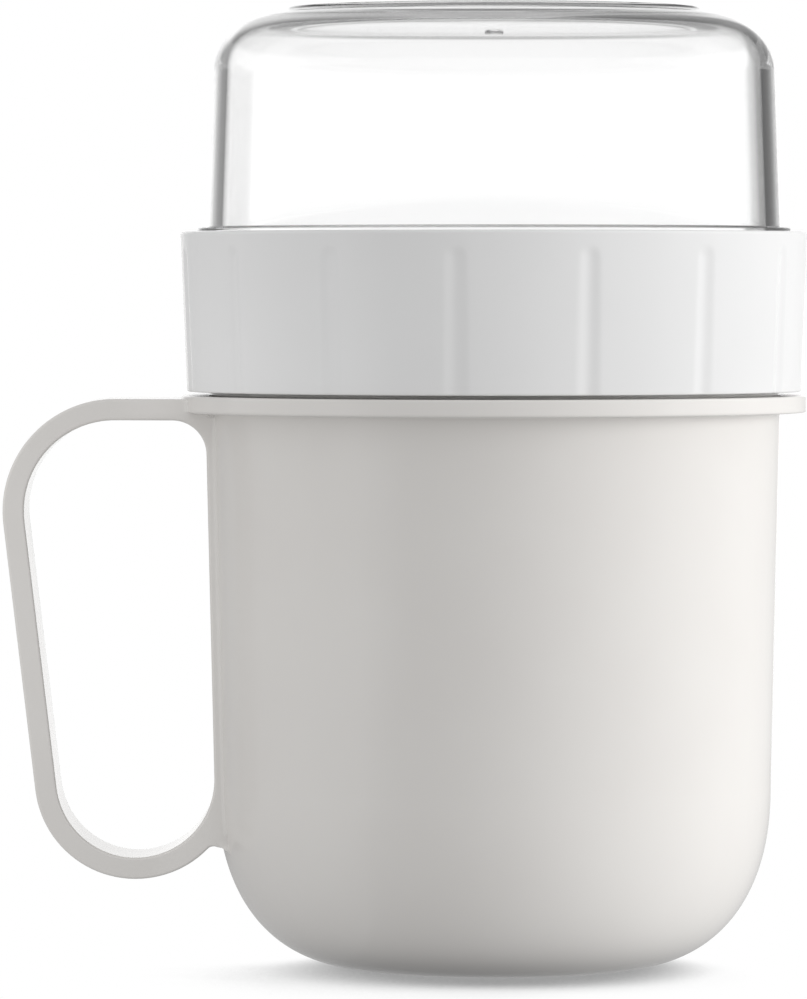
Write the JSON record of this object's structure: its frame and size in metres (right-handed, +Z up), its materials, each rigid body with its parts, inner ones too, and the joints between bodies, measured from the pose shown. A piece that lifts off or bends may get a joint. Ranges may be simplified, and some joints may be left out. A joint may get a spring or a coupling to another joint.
{
  "type": "lidded to-go mug with upper bowl",
  "caption": "Handled to-go mug closed by a grooved screw lid, with a clear bowl plugged upside down into the lid so that dry toppings travel apart from the food in the mug.",
  "frame": {"origin": "on the axis of the mug, at the centre of its base, with the foot ring standing on z = 0", "axes": "+Z up along the axis of the mug, -X towards the handle, -Y towards the viewer of the picture"},
  "size_m": [0.1302, 0.1018, 0.1555],
  "materials": {
    "mug_plastic": "warm off-white moulded polypropylene, satin",
    "lid_plastic": "cool white moulded polypropylene, satin",
    "silicone": "translucent white silicone, matt",
    "clear_plastic": "clear polished SAN"
  },
  "bodies": {
    "cup": {"cup": "mug_plastic"},
    "lid_gasket": {"lid_gasket": "silicone"},
    "screw_lid": {"screw_lid": "lid_plastic"},
    "dome": {"dome": "clear_plastic", "dome_seal": "silicone"}
  },
  "joints": [
    {"name": "lid_lift", "type": "slide", "parent": "cup", "child": "lid_gasket", "axis": [0, 0, 1], "range_m": [0, 0.0181]},
    {"name": "lid_turn", "type": "hinge", "parent": "lid_gasket", "child": "screw_lid", "pos_m": [0, 0, 0.1], "axis": [0, 0, 1], "range_deg": [0, 540]},
    {"name": "dome_pull", "type": "slide", "parent": "screw_lid", "child": "dome", "axis": [0, 0, 1], "range_m": [0, 0.03]}
  ],
  "couplings": [
    {"joint": "lid_lift", "follows": "lid_turn", "m_per_rad": 0.0019099}
  ]
}
